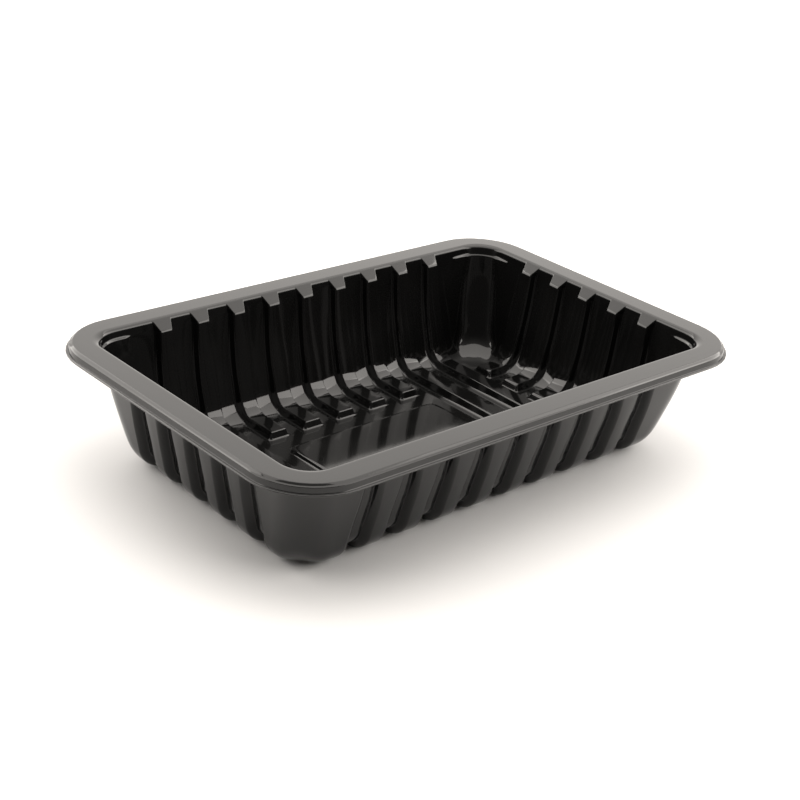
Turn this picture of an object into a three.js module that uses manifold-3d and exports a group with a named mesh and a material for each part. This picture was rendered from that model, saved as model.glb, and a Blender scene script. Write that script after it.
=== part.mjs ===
// Ribbed food tray pressed from one thin plastic sheet.
// Millimetres. +X runs along the length and +Z up. The origin is at the middle of the base.

import * as THREE from "three";
import { mergeVertices } from "three/addons/utils/BufferGeometryUtils.js";
import Module from "manifold-3d";

const wasm = await Module();
wasm.setup();

// ---- Driving dimensions ----

const sheet = 0.6; // wall thickness
const rimHeight = 45.5; // base to the flat top of the rim

const openingHalf = { x: 99.15, y: 63.65 }; // inner edge of the rim, from the centre
const openingCorner = 11; // plan radius of that edge
const wallCorner = { radius: 12.7, fullIn: 3 }; // plan radius further down, and the inset it is reached at
const floorCorner = 7.2; // plan radius where the corners meet the floor

const rimFlat = { width: 8.16, corner: 22 }; // the flat of the rim and the plan radius of its outer edge
const rimChamfer = { out: 0.55, down: 0.75 };
const rimLedge = { out: 0.35, down: 0.2 };
const skirt = { out: 0.68, down: 1.95 };
const lip = { out: 0.9, down: 0.28 };

const rimRoll = 1.5; // radius where the flat turns down into the wall
const upperDraft = 8.5; // degrees from upright
const lowerDraft = { long: 16, short: 12 };
const bow = { from: 10, to: 26 }; // depths between which the draft changes
const floorDepth = 44.9; // rim to the floor inside
const wallFillet = 10.5; // radius from wall to floor

const ribHeight = 2.93; // of the crest, square to the wall and to the floor
const ribTab = { startIn: 0.8, startDown: 0.32, endIn: 4.8, endDown: 3.75 };
const crestWidth = { tabTop: 7.7, tabEnd: 5, long: 6.8, short: 7 };
const ribFlank = { tabTop: 10, tabEnd: 18.5, foot: 22 }; // degrees
const ribReach = 7; // how far a rib bar runs on behind its crest
const ribReachSlope = 15; // degrees below level, on the wall

const longWallRibs = { pitch: 16.51, each: 4, end: 31.9 };
const crossFrom = 3; // ribs from this number outwards run right across the floor
const shortWallRibs = { pitch: 15.99, each: 2, end: 75 };
const endSlant = 1; // how far the end of a floor rib leans out to its foot

const panel = { x: 36.95, y: 21.7, corner: 4, height: 1.3, slope: 0.6 };
const cornerLedge = { down: 3.4, drop: 0.5, reach: 0.6, fade: 6, straight: 3.6 };

const cornerSteps = 6;
const filletSteps = 4;
const crestSteps = 3;

// ---- Solids from rings of points ----

// Angles are in degrees.
const radians = (degrees) => (degrees * Math.PI) / 180;
const sin = (degrees) => Math.sin(radians(degrees));
const cos = (degrees) => Math.cos(radians(degrees));
const tan = (degrees) => Math.tan(radians(degrees));
const mix = (a, b, t) => a + (b - a) * t;
const level = (depth) => rimHeight - depth;

function toSolid(geometry) {
  const merged = mergeVertices(geometry, 1e-4);
  return new wasm.Manifold(
    new wasm.Mesh({
      numProp: 3,
      vertProperties: merged.attributes.position.array,
      triVerts: new Uint32Array(merged.index.array),
    }),
  );
}

// A closed solid through rings that all have the same number of points.
function loft(rings) {
  const count = rings[0].length;
  const build = (flip) => {
    const points = rings.flat();
    const faces = [];
    const face = (a, b, c) => faces.push(...(flip ? [a, c, b] : [a, b, c]));
    for (let i = 0; i + 1 < rings.length; i += 1) {
      for (let j = 0; j < count; j += 1) {
        const next = (j + 1) % count;
        face(i * count + j, i * count + next, (i + 1) * count + next);
        face(i * count + j, (i + 1) * count + next, (i + 1) * count + j);
      }
    }
    const last = (rings.length - 1) * count;
    for (let j = 1; j + 1 < count; j += 1) {
      face(0, j + 1, j);
      face(last, last + j, last + j + 1);
    }
    const geometry = new THREE.BufferGeometry();
    geometry.setAttribute("position", new THREE.Float32BufferAttribute(points.flat(), 3));
    geometry.setIndex(faces);
    return toSolid(geometry);
  };
  const first = build(false);
  return first.volume() > 0 ? first : build(true);
}

// A rounded rectangle, anticlockwise seen from above.
function roundedRing(halfX, halfY, radius, z, steps = cornerSteps) {
  const ring = [];
  for (let quarter = 0; quarter < 4; quarter += 1) {
    const sideX = quarter === 0 || quarter === 3 ? 1 : -1;
    const sideY = quarter < 2 ? 1 : -1;
    for (let i = 0; i <= steps; i += 1) {
      const turn = ((quarter + i / steps) * Math.PI) / 2;
      ring.push([
        sideX * (halfX - radius) + radius * Math.cos(turn),
        sideY * (halfY - radius) + radius * Math.sin(turn),
        z,
      ]);
    }
  }
  return ring;
}

// The same path moved sideways by a distance, keeping each corner sharp.
function offsetPath(path, distance) {
  const normals = path.slice(1).map(([u, z], i) => {
    const du = u - path[i][0];
    const dz = z - path[i][1];
    const length = Math.hypot(du, dz);
    return [dz / length, -du / length];
  });
  return path.map(([u, z], i) => {
    const before = normals[Math.max(i - 1, 0)];
    const after = normals[Math.min(i, normals.length - 1)];
    const su = before[0] + after[0];
    const sz = before[1] + after[1];
    const scale = (2 * distance) / (su * su + sz * sz);
    return [u + su * scale, z + sz * scale];
  });
}

// ---- Side profile of the walls, as [distance in from the rim's inner edge, z] ----

const rollEnd = { in: rimRoll * cos(upperDraft), down: rimRoll * (1 - sin(upperDraft)) };

// A drafted line whose draft grows over a stretch of its depth.
function draftedInset(depth, draft) {
  const past = Math.min(Math.max(depth - bow.from, 0), bow.to - bow.from);
  const bend = (past * past) / (2 * (bow.to - bow.from)) + Math.max(depth - bow.to, 0);
  const upper = rollEnd.in + tan(upperDraft) * (depth - rollEnd.down);
  return upper + (tan(draft) - tan(upperDraft)) * bend;
}

function filletTop(draft) {
  return floorDepth - wallFillet * (1 - sin(draft));
}

function wallInset(depth, draft) {
  const top = filletTop(draft);
  if (depth <= top) {
    return draftedInset(depth, draft);
  }
  const lean = Math.asin(Math.min((depth - top) / wallFillet + sin(draft), 1));
  return draftedInset(top, draft) + wallFillet * (cos(draft) - Math.cos(lean));
}

// Depths of a wall's points, the last ones down its fillet.
function wallDepths(draft, steps) {
  const depths = [rollEnd.down, 14, 22];
  for (let i = 0; i <= steps; i += 1) {
    depths.push(floorDepth - wallFillet * (1 - sin(mix(draft, 90, i / steps))));
  }
  return depths;
}

function wallPath(depths, draft) {
  return depths.map((depth) => [wallInset(depth, draft), level(depth)]);
}

const roll = [0, 1].map((i) => {
  const turn = mix(90, upperDraft, i / 2);
  return [rimRoll * cos(turn), level(rimRoll * (1 - sin(turn)))];
});

const rimSteps = [
  [0, 0],
  [rimChamfer.out, rimChamfer.down],
  [rimLedge.out, rimLedge.down],
  [skirt.out, skirt.down],
  [lip.out, lip.down],
];
let out = rimFlat.width;
let down = 0;
const rim = rimSteps.map(([stepOut, stepDown]) => {
  out += stepOut;
  down += stepDown;
  return [-out, level(down)];
});
rim.reverse();

const skinDepths = wallDepths(lowerDraft.long, filletSteps);
const upperLength = rim.length + roll.length;

// The top face seen along one wall, from the lip over the rim and down to the floor.
function topPath(draft) {
  const wall = wallPath(skinDepths, draft);
  return [...rim, ...roll, ...wall, [wall[wall.length - 1][0] + 3, level(floorDepth)]];
}

// Plan radius of the corner at a point of the long wall's top face.
function cornerRadius(inset) {
  if (inset < -rimFlat.width) {
    return rimFlat.corner - rimFlat.width - inset;
  }
  if (inset < 0) {
    return mix(openingCorner, rimFlat.corner, -inset / rimFlat.width);
  }
  const filletIn = draftedInset(filletTop(lowerDraft.long), lowerDraft.long);
  const run = Math.min(Math.max(inset - filletIn, 0) / (wallFillet * cos(lowerDraft.long)), 1);
  const upper = mix(openingCorner, wallCorner.radius, Math.min(inset / wallCorner.fullIn, 1));
  return floorCorner + (upper - floorCorner) * Math.sqrt(1 - run * run);
}

const longTop = topPath(lowerDraft.long);
const shortTop = topPath(lowerDraft.short);

// Rings of the tray's face that lies a distance below the top face.
function faceRings(below) {
  const longFace = offsetPath(longTop, below);
  const shortFace = offsetPath(shortTop, below);
  return longFace.map(([longIn, longZ], i) => {
    const [shortIn, shortZ] = shortFace[i];
    const radius = cornerRadius(longTop[i][0]) + longTop[i][0] - longIn;
    const z = (longZ + shortZ) / 2;
    return roundedRing(openingHalf.x - shortIn, openingHalf.y - longIn, radius, z);
  });
}

const skin = loft([...faceRings(0).reverse(), ...faceRings(sheet)]);

// Everything above the middle of the sheet, used to trim what lies behind the ribs.
const brim = { x: openingHalf.x - 0.3, y: openingHalf.y - 0.3, corner: openingCorner - 0.3 };
const inside = loft([
  ...faceRings(sheet / 2).slice(upperLength).reverse(),
  roundedRing(brim.x, brim.y, brim.corner, level(sheet * 0.9)),
  roundedRing(brim.x, brim.y, brim.corner, level(0.15)),
]);

// ---- Ribs: bars that follow the wall down and on to the floor ----

const ribTop = floorDepth - ribHeight;

// A rib's crest keeps one distance from its wall, so it is the wall's own path moved in.
function crestPath(draft) {
  const wall = wallPath(wallDepths(draft, crestSteps), draft);
  const crest = offsetPath(wall, -ribHeight).slice(1);
  crest[crest.length - 1][1] = level(ribTop); // the fillet ends level with the floor rib
  return crest;
}

function ribPath(side, runIn, slanted) {
  const path = [
    [ribTab.startIn, level(ribTab.startDown)],
    [ribTab.endIn, level(ribTab.endDown)],
    ...crestPath(lowerDraft[side]),
    [runIn, level(ribTop)],
  ];
  if (slanted) {
    path.push([runIn + endSlant, level(floorDepth)]);
  }
  return path;
}

// Crest width and flank angle at a point of the rib.
function ribSection(side, index, depth) {
  if (index === 0) {
    return { width: crestWidth.tabTop, flank: ribFlank.tabTop };
  }
  const low = Math.min(Math.max((depth - ribTab.endDown) / (floorDepth / 2), 0), 1);
  return {
    width: mix(crestWidth.tabEnd, crestWidth[side], low),
    flank: mix(ribFlank.tabEnd, ribFlank.foot, low),
  };
}

// The way a rib's flanks run: back and a little down on the wall, straight down on the floor.
function reachDirection(path, i, slanted) {
  if (slanted && i === path.length - 2) {
    const du = path[i + 1][0] - path[i][0];
    const dz = path[i + 1][1] - path[i][1];
    const length = Math.hypot(du, dz);
    return [du / length, dz / length];
  }
  const floorPoints = slanted ? 2 : 1;
  const filletEnd = path.length - 1 - floorPoints;
  const turn = Math.min(Math.max((i - filletEnd + crestSteps) / crestSteps, 0), 1);
  const angle = mix(ribReachSlope, 90, turn);
  return [-cos(angle), -sin(angle)];
}

// Four-cornered sections of one rib: [sideways, inset, z]. A shrink makes the groove behind it.
function ribSections(side, runIn, slanted, shrink) {
  const outer = ribPath(side, runIn, slanted);
  const path = shrink ? offsetPath(outer, shrink) : outer;
  const count = slanted ? path.length - 1 : path.length;
  const sections = [];
  for (let i = 0; i < count; i += 1) {
    const [u, z] = path[i];
    const { width, flank } = ribSection(side, i, rimHeight - outer[i][1]);
    const thinner = shrink ? shrink * (1 / cos(flank) - tan(flank)) : 0;
    const half = width / 2 - thinner;
    const [du, dz] = reachDirection(path, i, slanted);
    const wide = half + ribReach * tan(flank);
    sections.push([
      [-half, u, z],
      [half, u, z],
      [wide, u + du * ribReach, z + dz * ribReach],
      [-wide, u + du * ribReach, z + dz * ribReach],
    ]);
  }
  return sections;
}

const bars = [];
const grooves = [];

// Adds one rib, or with a second place one that runs across the floor and up the other wall.
function addRib(side, runIn, place, secondPlace) {
  for (const shrink of [0, sheet]) {
    const sections = ribSections(side, runIn, !secondPlace, shrink);
    const rings = sections.map((section) => section.map(place));
    if (secondPlace) {
      rings.push(...sections.slice().reverse().map((section) => section.map(secondPlace)));
    }
    (shrink ? grooves : bars).push(loft(rings));
  }
}

for (let k = -longWallRibs.each; k <= longWallRibs.each; k += 1) {
  const middle = k * longWallRibs.pitch;
  const back = ([w, u, z]) => [middle + w, openingHalf.y - u, z];
  const front = ([w, u, z]) => [middle + w, u - openingHalf.y, z];
  if (Math.abs(k) >= crossFrom) {
    addRib("long", openingHalf.y - 5, back, front);
  } else {
    addRib("long", openingHalf.y - longWallRibs.end, back);
    addRib("long", openingHalf.y - longWallRibs.end, front);
  }
}
for (let k = -shortWallRibs.each; k <= shortWallRibs.each; k += 1) {
  const middle = k * shortWallRibs.pitch;
  const runIn = openingHalf.x - shortWallRibs.end;
  addRib("short", runIn, ([w, u, z]) => [openingHalf.x - u, middle + w, z]);
  addRib("short", runIn, ([w, u, z]) => [u - openingHalf.x, middle + w, z]);
}

// ---- Raised panel in the middle of the floor ----

function panelBlock(shrink) {
  const rings = [];
  for (const [height, grow] of [[-3, 0.4], [0, 0], [panel.height - shrink, -panel.slope]]) {
    const less = shrink - grow;
    rings.push(
      roundedRing(panel.x - less, panel.y - less, panel.corner - less, level(floorDepth - height), 4),
    );
  }
  return loft(rings);
}
bars.push(panelBlock(0));
grooves.push(panelBlock(sheet));

// ---- Thin ledge round each corner, just under the rim ----

function ledgeBlock(sideX, sideY) {
  const inset = draftedInset(cornerLedge.down, lowerDraft.long);
  const radius = cornerRadius(inset);
  const centreX = openingHalf.x - inset - radius;
  const centreY = openingHalf.y - inset - radius;
  const section = (turn, along, size) => {
    const endways = turn > 45;
    return [
      [radius + 0.3, -0.3],
      [radius - cornerLedge.reach * size, cornerLedge.drop * size],
      [radius - 0.6, cornerLedge.drop + cornerLedge.fade * size],
      [radius + 0.3, cornerLedge.drop + cornerLedge.fade * size],
    ].map(([r, drop]) => [
      sideX * (centreX + r * cos(turn) - (endways ? along : 0)),
      sideY * (centreY + r * sin(turn) - (endways ? 0 : along)),
      level(cornerLedge.down + drop),
    ]);
  };
  const rings = [
    section(0, cornerLedge.straight, 0.2),
    section(0, cornerLedge.straight - 1, 1),
  ];
  for (let i = 0; i <= cornerSteps; i += 1) {
    rings.push(section((i / cornerSteps) * 90, 0, 1));
  }
  rings.push(
    section(90, cornerLedge.straight - 1, 1),
    section(90, cornerLedge.straight, 0.2),
  );
  return loft(rings);
}
for (const sideX of [-1, 1]) {
  for (const sideY of [-1, 1]) {
    bars.push(ledgeBlock(sideX, sideY));
  }
}

// ---- Join, trim and hollow ----

let raised = bars[0];
for (const bar of bars.slice(1)) {
  raised = raised.add(bar);
}
let hollow = grooves[0];
for (const groove of grooves.slice(1)) {
  hollow = hollow.add(groove);
}
const tray = skin.add(raised.intersect(inside)).subtract(hollow);

function toMesh(solid, name, material) {
  const made = solid.getMesh();
  const points = [];
  for (let i = 0; i < made.numVert; i += 1) {
    points.push(...made.vertProperties.subarray(i * made.numProp, i * made.numProp + 3));
  }
  const indexed = new THREE.BufferGeometry();
  indexed.setAttribute("position", new THREE.Float32BufferAttribute(points, 3));
  indexed.setIndex([...made.triVerts]);
  const mesh = new THREE.Mesh(indexed, material);
  mesh.geometry.computeVertexNormals();
  mesh.name = name;
  return mesh;
}

const blackPlastic = new THREE.MeshStandardMaterial({
  color: 0x17181a,
  roughness: 0.22,
  metalness: 0,
});

const group = new THREE.Group();
group.name = "ribbed_food_tray";
group.add(toMesh(tray, "tray", blackPlastic));

export default group;
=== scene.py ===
# %% [markdown]
# # A ribbed black food tray
# The tray is one piece of thin plastic sheet, pressed hot over a mould. The lesson
# presses a flat sheet in the same way: a flat grid first, then the mould's form, then
# the thickness of the sheet.

import math

import bmesh
import bpy
import numpy as np
from mathutils import Matrix, Vector


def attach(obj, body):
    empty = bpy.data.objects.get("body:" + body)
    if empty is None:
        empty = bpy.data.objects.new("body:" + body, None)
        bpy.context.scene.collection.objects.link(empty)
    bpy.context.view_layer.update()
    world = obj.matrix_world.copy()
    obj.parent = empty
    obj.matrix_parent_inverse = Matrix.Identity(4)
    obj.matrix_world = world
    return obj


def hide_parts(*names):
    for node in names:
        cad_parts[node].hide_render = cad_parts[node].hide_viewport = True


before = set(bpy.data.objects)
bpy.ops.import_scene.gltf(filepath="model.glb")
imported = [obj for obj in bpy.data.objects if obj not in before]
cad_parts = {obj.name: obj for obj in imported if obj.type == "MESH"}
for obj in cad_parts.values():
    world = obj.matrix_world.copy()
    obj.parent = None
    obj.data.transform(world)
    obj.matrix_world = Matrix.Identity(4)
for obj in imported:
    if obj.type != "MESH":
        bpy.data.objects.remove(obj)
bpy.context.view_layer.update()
MM = 0.001

# %% [markdown]
# The camera comes first. Its place and turn were found by fitting the rim's edges, the
# tabs and the floor ribs to straight lines of the photograph. It could be placed by eye
# instead, but a fitted camera makes each later comparison a fair one.

# %% Camera
FRAME_PIXELS = 800
FOCAL_PIXELS = 1603.25
SENSOR = 36.0
CAMERA_PLACE = (-371.06, -394.71, 276.74)  # mm
AZIMUTH, ELEVATION, ROLL = -43.114, 25.319, 4.724  # degrees

azimuth, elevation, roll = (math.radians(v) for v in (AZIMUTH, ELEVATION, ROLL))
back = np.array(
    [
        math.sin(azimuth) * math.cos(elevation),
        -math.cos(azimuth) * math.cos(elevation),
        math.sin(elevation),
    ]
)
right = np.cross(-back, [0.0, 0.0, 1.0])
right /= np.linalg.norm(right)
up = np.cross(right, -back)
right, up = (
    math.cos(roll) * right + math.sin(roll) * up,
    -math.sin(roll) * right + math.cos(roll) * up,
)
bpy.ops.object.camera_add()
camera = bpy.context.object
camera.name = "camera"
turn = Matrix(np.stack([right, up, back], axis=1).tolist()).to_4x4()
camera.matrix_world = Matrix.Translation([v * MM for v in CAMERA_PLACE]) @ turn
camera.data.sensor_width = SENSOR
camera.data.lens = FOCAL_PIXELS / FRAME_PIXELS * SENSOR
camera.data.clip_start = 0.01
bpy.context.scene.camera = camera
print("camera lens", round(camera.data.lens, 2))

# %% [markdown]
# Sizes of the real tray, in millimetres. Depths count down from the flat of the rim,
# and insets count in from the rim's inner edge. The ribs are soft ridges that stand
# in from the wall and go on over the floor. A sloped tab closes each rib at the top.

# %% Sizes
HEIGHT = 45.5
SHEET = 0.45
FLOOR_DEPTH = HEIGHT - SHEET
OPEN_X, OPEN_Y, OPEN_CORNER = 99.15, 63.65, 11.0
WALL_CORNER, WALL_CORNER_IN, FLOOR_CORNER = 12.7, 3.0, 6.3
RIM_FLAT, RIM_CORNER = 8.16, 22.0
ROLL_RADIUS = 1.5
UPPER_DRAFT, LONG_DRAFT, SHORT_DRAFT = 8.5, 16.0, 12.0  # degrees
BOW = (10.0, 26.0)  # the wall leans out more from one depth to the other
WALL_FILLET, CORNER_FILLET = 10.5, 14.0
RIB_HEIGHT = 2.93
TAB_SLOPE, TAB_SOFT, TAB_END = 41.6, 0.5, 3.95
TAB_ROWS = 9.0  # from this depth down a crest point lies square to its point of the wall
LONG_PITCH, LONG_RIBS, LONG_END, CROSS_FROM = 16.51, 4, 31.9, 3
SHORT_PITCH, SHORT_RIBS, SHORT_END = 15.99, 2, 75.0
END_SLANT = 1.0
print("tray", 2 * (OPEN_X + RIM_FLAT), "by", 2 * (OPEN_Y + RIM_FLAT), "mm over the rim's flat")

# %% [markdown]
# A pressed sheet has no sharp corner, so each step from one level to another is a ramp
# with both of its corners rounded. A bevel could do that, but a rounded step in the
# formula stays even where ribs, wall and floor run into each other.

# %% Soft steps
def soft_min(p, q, k):
    """The smaller of two values, with the corner where they cross rounded over k."""
    h = np.clip(k - np.abs(p - q), 0, None) / k
    return np.minimum(p, q) - h * h * k / 4


def soft_max(p, q, k):
    return -soft_min(-p, -q, k)


def soft_ramp(t, low, high):
    """0 below 0 and 1 above 1, with the corner at 0 rounded by low and the one at 1 by high."""
    return soft_min(soft_max(t, 0 * t, low), 1 + 0 * t, high)


print("ramp", soft_ramp(np.linspace(-0.5, 1.5, 5), 0.4, 0.4).round(3))

# %% [markdown]
# The section of a wall: a small roll at the rim, a wall that leans out a little more on
# its lower half, and a wide fillet to the floor. A rib's crest is the same path moved
# in square to it, and the tab is a straight slope that cuts across its top. In the
# tray's corners the fillet is larger still.

# %% Wall and crest paths
def tan(degrees):
    return math.tan(math.radians(degrees))


roll_end = (
    ROLL_RADIUS * math.cos(math.radians(UPPER_DRAFT)),
    ROLL_RADIUS * (1 - math.sin(math.radians(UPPER_DRAFT))),
)
tab_start = (
    ROLL_RADIUS * math.sin(math.radians(TAB_SLOPE)),
    ROLL_RADIUS * (1 - math.cos(math.radians(TAB_SLOPE))),
)


def drafted(depth, draft):
    """Inset of a wall at a depth between the roll and the fillet."""
    past = np.clip(depth - BOW[0], 0, BOW[1] - BOW[0])
    bend = past**2 / (2 * (BOW[1] - BOW[0])) + np.clip(depth - BOW[1], 0, None)
    straight_wall = roll_end[0] + tan(UPPER_DRAFT) * (depth - roll_end[1])
    return straight_wall + (tan(draft) - tan(UPPER_DRAFT)) * bend


def fillet_top(draft, radius=WALL_FILLET):
    """The depth at which a fillet of a radius starts."""
    return FLOOR_DEPTH - radius * (1 - math.sin(math.radians(draft)))


def wall_point(depth, draft):
    """Inset of the plain wall at a depth, and how far it leans from level there."""
    top = fillet_top(draft)
    if depth < roll_end[1]:
        lean = math.asin(1 - depth / ROLL_RADIUS)
        return ROLL_RADIUS * math.cos(lean), lean
    if depth <= top:
        slope = (drafted(depth + 0.01, draft) - drafted(depth - 0.01, draft)) / 0.02
        return drafted(depth, draft), math.atan(slope)
    lean = math.asin(min((depth - top) / WALL_FILLET + math.sin(math.radians(draft)), 1))
    run = WALL_FILLET * (math.cos(math.radians(draft)) - math.cos(lean))
    return drafted(top, draft) + run, lean


def corner_point(depth):
    """Where a row of the long wall lies in the middle of a corner: inset, depth."""
    inset, lean = wall_point(depth, LONG_DRAFT)
    wall_top, top = fillet_top(LONG_DRAFT), fillet_top(LONG_DRAFT, CORNER_FILLET)
    if depth <= wall_top:
        share = np.clip((depth - BOW[0]) / (wall_top - BOW[0]), 0, 1)
        moved = depth + (top - wall_top) * share
        return float(drafted(moved, LONG_DRAFT) if depth > roll_end[1] else inset), float(moved)
    run = CORNER_FILLET * (math.cos(math.radians(LONG_DRAFT)) - math.cos(lean))
    return drafted(top, LONG_DRAFT) + run, FLOOR_DEPTH - CORNER_FILLET * (1 - math.sin(lean))


def crest_point(depth, draft):
    """Where a rib's crest lies for a row of the plain wall: inset, depth."""
    inset, lean = wall_point(depth, draft)
    moved = (inset + RIB_HEIGHT * math.cos(lean), depth - RIB_HEIGHT * math.sin(lean))
    if depth > TAB_ROWS:
        return moved
    if depth < tab_start[1]:
        return inset, depth
    share = np.clip((depth - tab_start[1]) / (TAB_ROWS - tab_start[1]), 0, 1)
    crest_depth = depth + (moved[1] - depth) * share
    line = drafted(crest_depth, draft) + RIB_HEIGHT / math.cos(math.radians(UPPER_DRAFT))
    tab = tab_start[0] + (crest_depth - tab_start[1]) / tan(TAB_SLOPE)
    return float(soft_min(np.float64(tab), np.float64(line), TAB_SOFT)), float(crest_depth)


print("fillets start at", round(fillet_top(LONG_DRAFT), 2), round(fillet_top(SHORT_DRAFT), 2))

# %% [markdown]
# The rows of the grid, from the floor's edge up the wall and out over the rim. Each
# row holds where it lies on the plain wall and where it lies on a rib's crest. They
# stand close together where the sheet turns, at the fillet, the tabs and the rim.

# %% Rows
FLOOR_X, FLOOR_Y = 72.0, 38.0  # the flat grid's half sizes
FLOOR_ROWS = (73.4, 73.8, 74.1, 74.4, 74.7, 75.0, 76.6)
FILLET_ROWS = 9
WALL_ROWS = (35.0, 31.0, 27.0, 23.5, 20.0, 16.5, 13.0, 10.0, 7.6, 6.2, 5.4)
WALL_ROWS += (4.9, 4.5, 4.2, 3.95, 3.7, 3.45, 3.0, 2.3)
ROLL_LEANS = (8.5, 22.0, 36.0, 48.4, 69.0, 90.0)
# a row's numbers
LONG_IN, SHORT_IN, DEPTH, LONG_CREST_IN, SHORT_CREST_IN = range(5)
LONG_CREST_DEPTH, SHORT_CREST_DEPTH, FLOOR_SHARE = range(5, 8)

long_foot, short_foot = (wall_point(FLOOR_DEPTH, d)[0] for d in (LONG_DRAFT, SHORT_DRAFT))
fillet_leans = np.radians(90 + (LONG_DRAFT - 90) * np.arange(FILLET_ROWS + 1) / FILLET_ROWS)
fillet_depths = FLOOR_DEPTH - WALL_FILLET * (1 - np.sin(fillet_leans))
roll_depths = ROLL_RADIUS * (1 - np.sin(np.radians(ROLL_LEANS)))

rows = []
for x in FLOOR_ROWS:
    t = (x - FLOOR_X) / (OPEN_X - short_foot - FLOOR_X)
    long_in = OPEN_Y - (FLOOR_Y + (OPEN_Y - long_foot - FLOOR_Y) * t)
    short_in = OPEN_X - x
    crest = FLOOR_DEPTH - RIB_HEIGHT
    rows.append((long_in, short_in, FLOOR_DEPTH, long_in, short_in, crest, crest, 1 - t))
for depth in (*fillet_depths, *WALL_ROWS, *roll_depths):
    long_in, short_in = wall_point(depth, LONG_DRAFT)[0], wall_point(depth, SHORT_DRAFT)[0]
    long_crest, short_crest = crest_point(depth, LONG_DRAFT), crest_point(depth, SHORT_DRAFT)
    crest_insets, crest_depths = zip(long_crest, short_crest)
    rows.append((long_in, short_in, depth, *crest_insets, *crest_depths, 0))
print("rows up to the rim", len(rows))

# %% [markdown]
# The rim is a wide flat with a small step at its edge, a short skirt that turns down,
# and a narrow lip that stands out. Its path is drawn as straight steps, and each
# corner of it is cut by a small arc.

# %% Rim rows
FLAT_ROWS = (-0.7, -4.0)
RIM_STEPS = [(RIM_FLAT, 0.0), (0.75, 0.7), (0.5, 0.3), (0.33, 1.9), (0.1, 0.25), (0.8, 0.03)]
RIM_SOFT = [0.22, 0.15, 0.12, 0.2, 0.12]
ARC_STEPS = 2


def plain_row(inset, depth):
    """A row of the rim, which has no ribs."""
    return (inset, inset, depth, inset, inset, depth, depth, 0)


def softened(points, radii):
    """The same path with each inner corner cut by a small arc."""
    path = [points[0]]
    for before, at, after, radius in zip(points, points[1:], points[2:], radii):
        one = (before - at) / np.linalg.norm(before - at)
        two = (after - at) / np.linalg.norm(after - at)
        for i in range(ARC_STEPS + 1):
            t = i / ARC_STEPS
            path.append(at + radius * ((1 - t) ** 2 * one + t**2 * two))
    return path + [points[-1]]


rim_points = np.cumsum(np.array([(0.0, 0.0)] + RIM_STEPS), axis=0)
rows += [plain_row(inset, 0) for inset in FLAT_ROWS]
rows += [plain_row(-out, down) for out, down in softened(rim_points, RIM_SOFT)[1:]]
rows = np.array(rows)
print("rows", len(rows))

# %% [markdown]
# The columns of the grid follow the ribs' edges, so that each flank has its own
# lines at every depth. A rib is wide at its tab, narrow under it, and wider again
# towards the floor, and its lines slide along the wall with it.

# %% Columns
FLANK_LINES = (-0.3, -0.05, 0.2, 0.5, 0.85, 1.2, 1.6)  # 0 at the crest and 1 at the foot
ON_CREST, ON_FLANK, IN_GAP = range(3)
# extra lines for the panel's edges and for the squared ends of the floor ribs
LONG_EXTRA = [(2, s, ON_CREST, f) for s in (-1, 1) for f in (0.38, 0.62)]
SHORT_EXTRA = [(1, 1, IN_GAP, 0.12), (1, 1, IN_GAP, 0.26), (2, 1, ON_CREST, 0.06)]
SHORT_EXTRA += [(2, -1, ON_CREST, f) for f in (0.44, 0.36, 0.29, 0.2, 0.11, 0.03)]
# half widths at the crest and at the foot, from the tab down
TAB_WIDTHS, UPPER_WIDTHS = (3.85, 4.3), (2.5, 3.48)
LONG_WIDTHS, SHORT_WIDTHS = (3.4, 4.7), (3.5, 4.7)
LONG_FLOOR_FOOT, SHORT_FLOOR_FOOT = 4.475, 4.8
WIDENS_OVER = 22.45
FOOT_TURNS = 38.5  # from this depth the foot turns to its width on the floor


def rib_widths(depth, long_side):
    """Half widths of a rib at its crest and at its foot."""
    low = np.clip((depth - TAB_END) / WIDENS_OVER, 0, 1)
    tab = np.clip((depth - tab_start[1]) / (TAB_END - tab_start[1]), 0, 1)
    crest, foot = (
        start + (upper - start) * tab + (lower - upper) * low
        for start, upper, lower in zip(
            TAB_WIDTHS, UPPER_WIDTHS, LONG_WIDTHS if long_side else SHORT_WIDTHS
        )
    )
    on_floor = np.clip((depth - FOOT_TURNS) / (FLOOR_DEPTH - FOOT_TURNS), 0, 1)
    foot = foot + ((LONG_FLOOR_FOOT if long_side else SHORT_FLOOR_FOOT) - foot) * on_floor
    return crest, foot


def rib_reach(depth, long_side):
    """How far a rib's last line lies from its middle."""
    crest, foot = rib_widths(depth, long_side)
    return crest + FLANK_LINES[-1] * (foot - crest)


def column_places(columns, depth, pitch, long_side):
    """Where the columns lie along their wall at a depth."""
    crest, foot = rib_widths(depth, long_side)
    reach = rib_reach(depth, long_side)
    number, side, zone, share = columns.T
    off = np.select(
        [zone == ON_CREST, zone == ON_FLANK],
        [share * crest, crest + share * (foot - crest)],
        reach + share * (pitch / 2 - reach),
    )
    return number * pitch + side * off


def side_columns(pitch, ribs, extra, long_side):
    """Each column: rib number, side of the rib, zone, share of the zone."""
    columns = []
    for k in range(-ribs, ribs + 1):
        columns.append((k, 1, ON_CREST, 0))
        columns += [(k, side, ON_FLANK, s) for s in FLANK_LINES for side in (-1, 1)]
        if k < ribs:
            columns.append((k, 1, IN_GAP, 1))
    columns += extra + [(-k, -side, zone, share) for k, side, zone, share in extra]
    columns = np.array(sorted(set(columns)), dtype=float)
    return columns[np.argsort(column_places(columns, FLOOR_DEPTH, pitch, long_side))]


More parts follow.
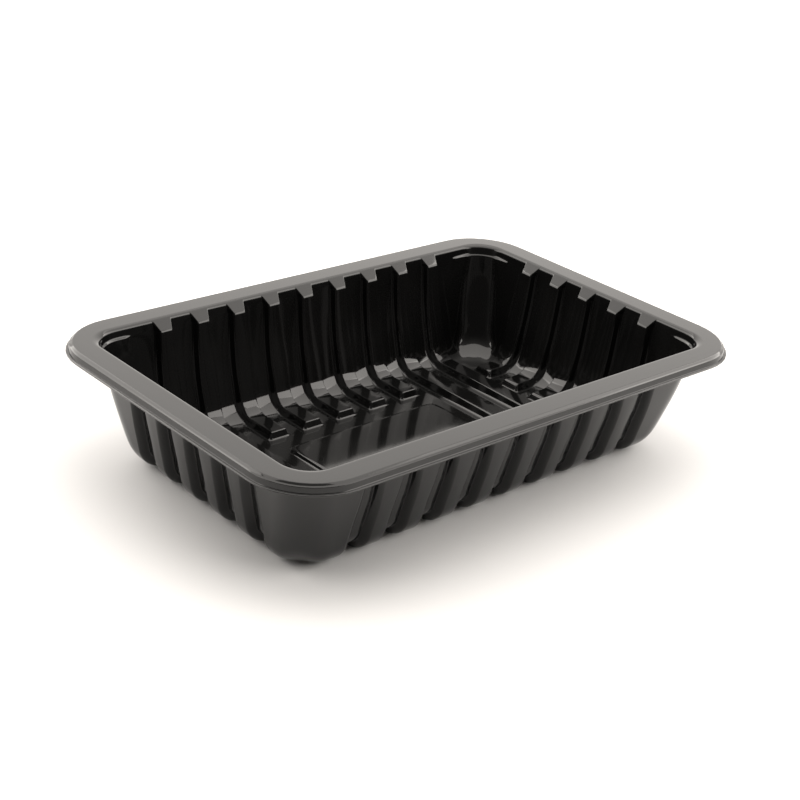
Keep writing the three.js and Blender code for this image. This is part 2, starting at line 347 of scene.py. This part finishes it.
long_columns = side_columns(LONG_PITCH, LONG_RIBS, LONG_EXTRA, True)
short_columns = side_columns(SHORT_PITCH, SHORT_RIBS, SHORT_EXTRA, False)
long_places = column_places(long_columns, FLOOR_DEPTH, LONG_PITCH, True)
short_places = column_places(short_columns, FLOOR_DEPTH, SHORT_PITCH, False)
long_places = np.r_[-FLOOR_X, long_places, FLOOR_X]
short_places = np.r_[-FLOOR_Y, short_places, FLOOR_Y]
for depth in (0, TAB_END, BOW[1], FLOOR_DEPTH):
    gaps = [
        np.diff(column_places(long_columns, depth, LONG_PITCH, True)).min(),
        np.diff(column_places(short_columns, depth, SHORT_PITCH, False)).min(),
    ]
    print("narrowest columns at", round(depth, 2), np.round(gaps, 3))
print("columns", len(long_columns), len(short_columns))

# %% [markdown]
# The flat sheet is a grid with one line for each column, its lines slid to where the
# ribs need them. A plain even grid would need many more points for the same ribs.

# %% Flat sheet
bpy.ops.object.select_all(action="DESELECT")
bpy.ops.mesh.primitive_grid_add(
    x_subdivisions=len(long_places) - 1,
    y_subdivisions=len(short_places) - 1,
    size=1,
)
tray = bpy.context.object
tray.name = "pressed_tray"
mesh = tray.data


def read_points(mesh):
    points = np.empty(len(mesh.vertices) * 3)
    mesh.vertices.foreach_get("co", points)
    return points.reshape(-1, 3)


def write_points(mesh, points):
    mesh.vertices.foreach_set("co", np.ascontiguousarray(points).ravel())
    mesh.update()


points = read_points(mesh)
column = np.rint((points[:, 0] + 0.5) * (len(long_places) - 1)).astype(int)
line = np.rint((points[:, 1] + 0.5) * (len(short_places) - 1)).astype(int)
level = 0 * points[:, 2]
write_points(mesh, np.stack([long_places[column], short_places[line], level], axis=1) * MM)
print("flat sheet", len(mesh.vertices), "points")

# %% [markdown]
# The sheet's four corners are bevelled into many points, because a corner of the tray
# needs as many lines as its curve has steps. Each point of the edge then gets a number
# that says which wall or corner it belongs to.

# %% Rounded corners
GRID_BEVEL = 0.35
CORNER_LINES = 18
INSIDE, LONG, SHORT, CORNER = range(4)

bpy.ops.object.mode_set(mode="EDIT")
bpy.ops.mesh.select_all(action="DESELECT")
bm = bmesh.from_edit_mesh(mesh)
for v in bm.verts:
    if abs(abs(v.co.x) - FLOOR_X * MM) < 1e-6 and abs(abs(v.co.y) - FLOOR_Y * MM) < 1e-6:
        v.select = True
bm.select_flush(True)
bmesh.update_edit_mesh(mesh)
bpy.ops.mesh.bevel(
    affect="VERTICES", offset=GRID_BEVEL * MM, segments=CORNER_LINES, profile=0.5
)

bm = bmesh.from_edit_mesh(mesh)
number_of = {name: bm.verts.layers.int.new(name) for name in ("kind", "index", "row")}
straight_x, straight_y = FLOOR_X - GRID_BEVEL, FLOOR_Y - GRID_BEVEL
bpy.ops.mesh.select_all(action="DESELECT")
edge_points = set()
for edge in bm.edges:
    if edge.is_boundary:
        edge.select = True
        edge_points.update(edge.verts)
corners = {}
for v in edge_points:
    x, y = abs(v.co.x) / MM, abs(v.co.y) / MM
    if x > straight_x - 0.01 and y > straight_y - 0.01:
        lean = math.atan2(y - straight_y, x - straight_x)
        corners.setdefault((v.co.x > 0, v.co.y > 0), []).append((-lean, v.index, v))
    elif y > straight_y:
        v[number_of["kind"]] = LONG
        v[number_of["index"]] = int(np.argmin(np.abs(long_places - v.co.x / MM))) - 1
    else:
        v[number_of["kind"]] = SHORT
        v[number_of["index"]] = int(np.argmin(np.abs(short_places - v.co.y / MM))) - 1
for corner in corners.values():
    for number, (_, _, v) in enumerate(sorted(corner, key=lambda point: point[:2])):
        v[number_of["kind"]] = CORNER
        v[number_of["index"]] = number
bmesh.update_edit_mesh(mesh)
print("points in each corner", [len(corner) for corner in corners.values()])

# %% [markdown]
# The edge, still selected, is extruded out ring by ring, one ring for each row. The
# rings are only spread a little here, and the press puts them in their places.

# %% Rings
for number in range(len(rows)):
    bpy.ops.mesh.extrude_region_move(
        MESH_OT_extrude_region={"use_normal_flip": False},
        TRANSFORM_OT_translate={"value": (0, 0, 0)},
    )
    bpy.ops.transform.resize(value=(1.01, 1.015, 1))
    bm = bmesh.from_edit_mesh(mesh)
    row_of = bm.verts.layers.int["row"]
    for v in bm.verts:
        if v.select:
            v[row_of] = number + 1
bmesh.update_edit_mesh(mesh)
bpy.ops.object.mode_set(mode="OBJECT")
print("ringed sheet", len(mesh.vertices), "points")

# %% [markdown]
# The press: every point of the sheet goes to its place on the mould. The plain wall
# and a rib's crest are two surfaces, and a rib's flank turns softly from one to the
# other. Moving the points by formula keeps every rib the same, as the mould does.

# %% Press the floor
FLANK_FOOT, FLANK_CREST, END_SOFT = 0.6, 0.3, 0.4
PANEL_X, PANEL_Y, PANEL_CORNER, PANEL_HEIGHT, PANEL_SLOPE = 36.95, 21.7, 4.0, 1.3, 0.65
PANEL_FOOT, PANEL_CREST = 0.4, 0.3


def numbers(name):
    values = np.empty(len(mesh.vertices), dtype=np.int32)
    mesh.attributes[name].data.foreach_get("value", values)
    return values


def rib_share(across, ribs, pitch, crest, foot):
    """1 on a rib's crest and 0 between ribs, with the rib's number."""
    number = np.clip(np.rint(across / pitch), -ribs, ribs)
    off = np.abs(across - number * pitch)
    return soft_ramp(1 - (off - crest) / (foot - crest), FLANK_FOOT, FLANK_CREST), number


kind, index, row = numbers("kind"), numbers("index"), numbers("row")
flat = read_points(mesh) / MM
side_x, side_y = np.where(flat[:, 0] < 0, -1, 1), np.where(flat[:, 1] < 0, -1, 1)
pressed = np.zeros_like(flat)

inside = row == 0
x, y = flat[inside, 0], flat[inside, 1]
share, number = rib_share(x, LONG_RIBS, LONG_PITCH, *rib_widths(FLOOR_DEPTH, True))
end = soft_ramp((np.abs(y) - (LONG_END - END_SLANT)) / END_SLANT, END_SOFT, END_SOFT)
share = np.where(np.abs(number) >= CROSS_FROM, share, share * end)
gap_x = np.clip(np.abs(x) - (PANEL_X - PANEL_CORNER), 0, None)
gap_y = np.clip(np.abs(y) - (PANEL_Y - PANEL_CORNER), 0, None)
panel = (PANEL_CORNER - np.hypot(gap_x, gap_y)) / PANEL_SLOPE
panel = soft_ramp(panel, PANEL_FOOT, PANEL_CREST)
height = RIB_HEIGHT * share + PANEL_HEIGHT * panel * (1 - share) - FLOOR_DEPTH
pressed[inside] = np.stack([x, y, height], axis=1)
pressed[inside & (kind == CORNER), 2] = -FLOOR_DEPTH
print("floor", inside.sum(), "points")

# %% [markdown]
# The walls and the rim are pressed row by row. On the floor the ribs of the short
# walls are cut off square, as those of the long walls are.

# %% Press the walls
for which, ribs, pitch, columns, long_side in (
    (LONG, LONG_RIBS, LONG_PITCH, long_columns, True),
    (SHORT, SHORT_RIBS, SHORT_PITCH, short_columns, False),
):
    used = [LONG_IN, LONG_CREST_IN, LONG_CREST_DEPTH]
    if not long_side:
        used = [SHORT_IN, SHORT_CREST_IN, SHORT_CREST_DEPTH]
    for number, numbers_of_row in enumerate(rows, start=1):
        here = (kind == which) & (row == number)
        depth = numbers_of_row[DEPTH]
        inset, crest_inset, crest_depth = numbers_of_row[used]
        across = column_places(columns, depth, pitch, long_side)[index[here]]
        share, _ = rib_share(across, ribs, pitch, *rib_widths(depth, long_side))
        if not long_side and inset > short_foot:
            reach = (OPEN_X - inset - (SHORT_END - END_SLANT)) / END_SLANT
            share = share * soft_ramp(np.full_like(share, reach), END_SOFT, END_SOFT)
        inward = inset + share * (crest_inset - inset)
        height = -(depth + share * (crest_depth - depth))
        if long_side:
            place = [across, side_y[here] * (OPEN_Y - inward), height]
        else:
            place = [side_x[here] * (OPEN_X - inward), across, height]
        pressed[here] = np.stack(place, axis=1)
print("walls", ((kind == LONG) | (kind == SHORT)).sum(), "points")

# %% [markdown]
# A corner's row is a quarter circle with a short straight piece at each end. Half way
# round, the row also drops back and up, which makes the larger fillet there. Under the
# rim a thin ledge stands in, which stops a stack of trays from jamming.

# %% Press the corners
STRAIGHT_STEPS = np.array([0.0, 0.6, 0.7, 0.8, 1.0])
LONG_GAP, SHORT_GAP = 0.45, 0.07  # from the last rib's last line to the corner's first
LEDGE_DOWN, LEDGE_DROP, LEDGE_IN, LEDGE_FADE = 3.5, 0.5, 0.55, 8.0
LEDGE_END_X, LEDGE_END_Y, LEDGE_SLOPE = 80.8, 47.0, 1.2
LEDGE_SOFT, LEDGE_EDGE = 0.3, 0.25


def corner_radius(inset):
    """Plan radius of the corner at an inset of the long wall."""
    if inset < -RIM_FLAT:
        return RIM_CORNER - RIM_FLAT - inset
    if inset < 0:
        return OPEN_CORNER + (RIM_CORNER - OPEN_CORNER) * -inset / RIM_FLAT
    start = wall_point(fillet_top(LONG_DRAFT), LONG_DRAFT)[0]
    run = min(max(inset - start, 0) / (long_foot - start), 1)
    upper = OPEN_CORNER + (WALL_CORNER - OPEN_CORNER) * min(inset / WALL_CORNER_IN, 1)
    return upper + (FLOOR_CORNER - upper) * run


def ledge_end(place, end):
    return soft_ramp((place - end) / LEDGE_SLOPE + 0.5, LEDGE_SOFT, LEDGE_SOFT)


straight = len(STRAIGHT_STEPS) - 1
for number, numbers_of_row in enumerate(rows, start=1):
    here = (kind == CORNER) & (row == number)
    long_in, short_in, depth = numbers_of_row[[LONG_IN, SHORT_IN, DEPTH]]
    floor_share = numbers_of_row[FLOOR_SHARE]
    radius = corner_radius(min(long_in, long_foot))
    radius = radius + (GRID_BEVEL - radius) * floor_share
    centre_x, centre_y = OPEN_X - short_in - radius, OPEN_Y - long_in - radius
    start_x = LONG_RIBS * LONG_PITCH + rib_reach(depth, True) + LONG_GAP
    start_y = SHORT_RIBS * SHORT_PITCH + rib_reach(depth, False) + SHORT_GAP
    step = index[here]
    arc = np.clip((step - straight) / (CORNER_LINES - 2 * straight), 0, 1)
    lean = (1 - arc) * math.pi / 2
    along_x = STRAIGHT_STEPS[np.clip(step, 0, straight)]
    along_y = STRAIGHT_STEPS[np.clip(CORNER_LINES - step, 0, straight)]
    middle_x = start_x + (centre_x - start_x) * along_x
    middle_y = start_y + (centre_y - start_y) * along_y
    depths = np.full(len(step), depth)
    if floor_share == 0 and long_in > 0:
        round_in, round_depth = corner_point(depth)
        bowl = np.sin(2 * lean) ** 2
        middle_x = middle_x - bowl * (round_in - long_in)
        middle_y = middle_y - bowl * (round_in - long_in)
        depths = depth + bowl * (round_depth - depth)
    ledge = np.full(len(step), (depth - LEDGE_DOWN) / LEDGE_DROP)
    ledge = soft_ramp(ledge, LEDGE_SOFT, LEDGE_EDGE)
    ledge *= np.clip(1 - (depth - LEDGE_DOWN - LEDGE_DROP) / LEDGE_FADE, 0, 1)
    ledge *= ledge_end(middle_x, LEDGE_END_X) * ledge_end(middle_y, LEDGE_END_Y)
    round_x = middle_x + (radius - LEDGE_IN * ledge) * np.cos(lean)
    round_y = middle_y + (radius - LEDGE_IN * ledge) * np.sin(lean)
    pressed[here] = np.stack([side_x[here] * round_x, side_y[here] * round_y, -depths], axis=1)

pressed[:, 2] += HEIGHT
write_points(mesh, pressed * MM)
print("pressed", pressed.min(axis=0).round(2), pressed.max(axis=0).round(2))

# %% [markdown]
# The sheet's thickness is the same everywhere, and it goes to the outside. The faces
# look up before that, so that the solidify modifier adds the sheet below them.

# %% Thickness
bpy.ops.object.mode_set(mode="EDIT")
bpy.ops.mesh.select_all(action="SELECT")
bpy.ops.mesh.normals_make_consistent(inside=False)
bpy.ops.object.mode_set(mode="OBJECT")
FLOOR_FACES = 2000  # the first faces are the floor's
if np.mean([face.normal.z > 0 for face in mesh.polygons[:FLOOR_FACES]]) < 0.5:
    bpy.ops.object.mode_set(mode="EDIT")
    bpy.ops.mesh.select_all(action="SELECT")
    bpy.ops.mesh.flip_normals()
    bpy.ops.object.mode_set(mode="OBJECT")
for name in ("kind", "index", "row"):
    mesh.attributes.remove(mesh.attributes[name])
wall = tray.modifiers.new("sheet", "SOLIDIFY")
wall.thickness = SHEET * MM
wall.offset = -1
wall.use_even_offset = False
bpy.ops.object.modifier_apply(modifier=wall.name)
print("tray", sum(len(face.vertices) - 2 for face in mesh.polygons), "triangles")

# %% [markdown]
# Smooth shading alone lets the turn of each small edge spread over the wide flats
# beside it, and their reflections swell. The weighted normal modifier gives the wide
# faces the say, so that flats reflect as flats. It passes over faces under about one
# square unit, so the tray is in millimetres while it works.

# %% Even normals
bpy.ops.object.shade_smooth()
write_points(mesh, read_points(mesh) / MM)
even = tray.modifiers.new("even_normals", "WEIGHTED_NORMAL")
even.mode = "FACE_AREA"
even.weight = 50
bpy.ops.object.modifier_apply(modifier=even.name)
mesh = tray.data
write_points(mesh, read_points(mesh) * MM)
print("tray", np.ptp(read_points(mesh) / MM, axis=0).round(2), "mm")

# %% [markdown]
# The plastic is nearly black all through and shines. A pressed sheet is never quite
# even: the mould leaves wide shallow waves and patches that are a little less shiny.
# One node group makes both from the place on the tray, and the shader only reads it.

# %% Skin of a pressed sheet
WAVE_SCALE, PATCH_SCALE, WAVE_STRETCH = 70, 38, (0.6, 1.0, 1.0)
NOISE_LOW, NOISE_HIGH = 0.3, 0.7  # a noise texture seldom leaves this range
ROUGH_LOW, ROUGH_HIGH = 0.05, 0.1


def noise(tree, place, scale, detail, stretch=(1.0, 1.0, 1.0)):
    """A noise texture read at the place on the object, stretched along an axis."""
    mapping = tree.nodes.new("ShaderNodeMapping")
    mapping.inputs["Scale"].default_value = stretch
    texture = tree.nodes.new("ShaderNodeTexNoise")
    texture.inputs["Scale"].default_value = scale
    texture.inputs["Detail"].default_value = detail
    tree.links.new(place, mapping.inputs["Vector"])
    tree.links.new(mapping.outputs["Vector"], texture.inputs["Vector"])
    return texture.outputs["Fac"]


def spread(tree, value, low, high):
    """A noise value turned into low..high."""
    range_node = tree.nodes.new("ShaderNodeMapRange")
    range_node.inputs["From Min"].default_value = NOISE_LOW
    range_node.inputs["From Max"].default_value = NOISE_HIGH
    range_node.inputs["To Min"].default_value = low
    range_node.inputs["To Max"].default_value = high
    tree.links.new(value, range_node.inputs["Value"])
    return range_node.outputs["Result"]


skin = bpy.data.node_groups.new("pressed_skin", "ShaderNodeTree")
skin.interface.new_socket("Place", in_out="INPUT", socket_type="NodeSocketVector")
for name in ("Roughness", "Height", "Shade"):
    skin.interface.new_socket(name, in_out="OUTPUT", socket_type="NodeSocketFloat")
group_in = skin.nodes.new("NodeGroupInput")
group_out = skin.nodes.new("NodeGroupOutput")
waves = noise(skin, group_in.outputs["Place"], WAVE_SCALE, 1.0, WAVE_STRETCH)
patches = noise(skin, group_in.outputs["Place"], PATCH_SCALE, 3.0)
skin.links.new(spread(skin, patches, ROUGH_LOW, ROUGH_HIGH), group_out.inputs["Roughness"])
skin.links.new(waves, group_out.inputs["Height"])
skin.links.new(spread(skin, patches, 0.0, 1.0), group_out.inputs["Shade"])
print("group", skin.name, [socket.name for socket in skin.interface.items_tree])

# %% [markdown]
# The material itself is one shader. Its black turns between two close shades, and the
# waves only bend the reflections, because they are too low to show as a shape.

# %% Plastic
BLACK_LOW, BLACK_HIGH = (0.0030, 0.0030, 0.0030, 1), (0.0046, 0.0046, 0.0045, 1)
PLASTIC_IOR = 1.46
WAVE_HEIGHT = 0.00002  # metres


def two_tone(tree, share, low, high):
    """A colour between two, by a value from 0 to 1."""
    mix = tree.nodes.new("ShaderNodeMix")
    mix.data_type = "RGBA"
    mix.inputs["A"].default_value = low
    mix.inputs["B"].default_value = high
    tree.links.new(share, mix.inputs["Factor"])
    return mix.outputs["Result"]


plastic = bpy.data.materials.new("black_plastic")
plastic.use_nodes = True
tree = plastic.node_tree
shader = tree.nodes["Principled BSDF"]
shader.inputs["IOR"].default_value = PLASTIC_IOR
place = tree.nodes.new("ShaderNodeTexCoord")
skin_node = tree.nodes.new("ShaderNodeGroup")
skin_node.node_tree = skin
tree.links.new(place.outputs["Object"], skin_node.inputs["Place"])
black = two_tone(tree, skin_node.outputs["Shade"], BLACK_LOW, BLACK_HIGH)
tree.links.new(black, shader.inputs["Base Color"])
tree.links.new(skin_node.outputs["Roughness"], shader.inputs["Roughness"])
bump = tree.nodes.new("ShaderNodeBump")
bump.inputs["Strength"].default_value = 1.0
bump.inputs["Distance"].default_value = WAVE_HEIGHT
tree.links.new(skin_node.outputs["Height"], bump.inputs["Height"])
tree.links.new(bump.outputs["Normal"], shader.inputs["Normal"])
tray.data.materials.append(plastic)
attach(tray, "root")
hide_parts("tray")
print("material", plastic.name, len(tree.nodes), "nodes")

# %% [markdown]
# The floor is a plain pale table, a little cloudy. It is wide enough to fill the
# picture, and the tray's outer walls mirror it.

# %% Floor
FLOOR_SIZE = 6.0  # metres
FLOOR_LOW, FLOOR_HIGH = (0.64, 0.64, 0.64, 1), (0.68, 0.68, 0.68, 1)
CLOUD_SCALE, FLOOR_ROUGHNESS = 3, 0.7

bpy.ops.mesh.primitive_plane_add(size=FLOOR_SIZE, location=(0, 0, 0))
floor = bpy.context.object
floor.name = "floor"
pale = bpy.data.materials.new("pale_floor")
pale.use_nodes = True
tree = pale.node_tree
shader = tree.nodes["Principled BSDF"]
shader.inputs["Roughness"].default_value = FLOOR_ROUGHNESS
place = tree.nodes.new("ShaderNodeTexCoord")
clouds = noise(tree, place.outputs["Object"], CLOUD_SCALE, 2.0)
tree.links.new(two_tone(tree, clouds, FLOOR_LOW, FLOOR_HIGH), shader.inputs["Base Color"])
floor.data.materials.append(pale)
print("floor", FLOOR_SIZE, "m wide")

# %% [markdown]
# Black gloss shows little but its reflections, so the lights are placed by what they
# do in the tray. The two at the sides make the bright patches in the fillets, the one
# behind lies in the rim's flat, and the one overhead lights the tabs and the floor.
# Each light's brightness is that of its face, so the power follows from its size.

# %% Lights
LIGHTS = [
    # name, degrees right of the view, degrees up, metres away, width, height, brightness
    ("right", 84, 29, 1.3, 1.8, 0.75, 4.8),
    ("left", -80, 30, 1.3, 1.8, 0.75, 4.2),
    ("behind", 0, 24, 1.6, 3.6, 1.35, 1.4),
    ("overhead", 0, 77, 1.1, 2.2, 1.4, 2.5),
]
WARM = (1.0, 0.955, 0.905)
TARGET = (0.0, 0.0, 0.03)
VIEW = math.atan2(math.cos(azimuth), -math.sin(azimuth))  # seen from above

for name, aside, above, away, width, height, brightness in LIGHTS:
    across, raised = VIEW - math.radians(aside), math.radians(above)
    toward = Vector(
        (math.cos(across) * math.cos(raised), math.sin(across) * math.cos(raised), math.sin(raised))
    )
    bpy.ops.object.light_add(type="AREA", location=Vector(TARGET) + toward * away)
    light = bpy.context.object
    light.name = name
    light.data.shape = "RECTANGLE"
    light.data.size, light.data.size_y = width, height
    light.data.energy = math.pi * width * height * brightness
    light.data.color = WARM
    light.rotation_euler = (-toward).to_track_quat("-Z", "Y").to_euler()
    print("light", name, round(light.data.energy, 1), "W")

# %% [markdown]
# The room itself is dim behind the camera, which keeps the tray's inner walls black,
# and lighter beyond the tray. Its brightness is a smooth step along the view.

# %% Room
ROOM_DIM, ROOM_LIGHT = 0.08, 0.6
DIM_UNTIL, LIGHT_FROM = -0.85, -0.1  # -1 behind the camera, 1 ahead of it

world = bpy.data.worlds.new("studio")
world.use_nodes = True
tree = world.node_tree
place = tree.nodes.new("ShaderNodeTexCoord")
ahead = tree.nodes.new("ShaderNodeVectorMath")
ahead.operation = "DOT_PRODUCT"
ahead.inputs[1].default_value = (math.cos(VIEW), math.sin(VIEW), 0)
tree.links.new(place.outputs["Generated"], ahead.inputs[0])
step = tree.nodes.new("ShaderNodeMapRange")
step.interpolation_type = "SMOOTHSTEP"
step.inputs["From Min"].default_value = DIM_UNTIL
step.inputs["From Max"].default_value = LIGHT_FROM
step.inputs["To Min"].default_value = ROOM_DIM
step.inputs["To Max"].default_value = ROOM_LIGHT
tree.links.new(ahead.outputs["Value"], step.inputs["Value"])
tree.nodes["Background"].inputs["Color"].default_value = (*WARM, 1)
tree.links.new(step.outputs["Result"], tree.nodes["Background"].inputs["Strength"])
bpy.context.scene.world = world
bpy.context.scene.view_settings.view_transform = "Standard"
print("room", ROOM_DIM, "to", ROOM_LIGHT)
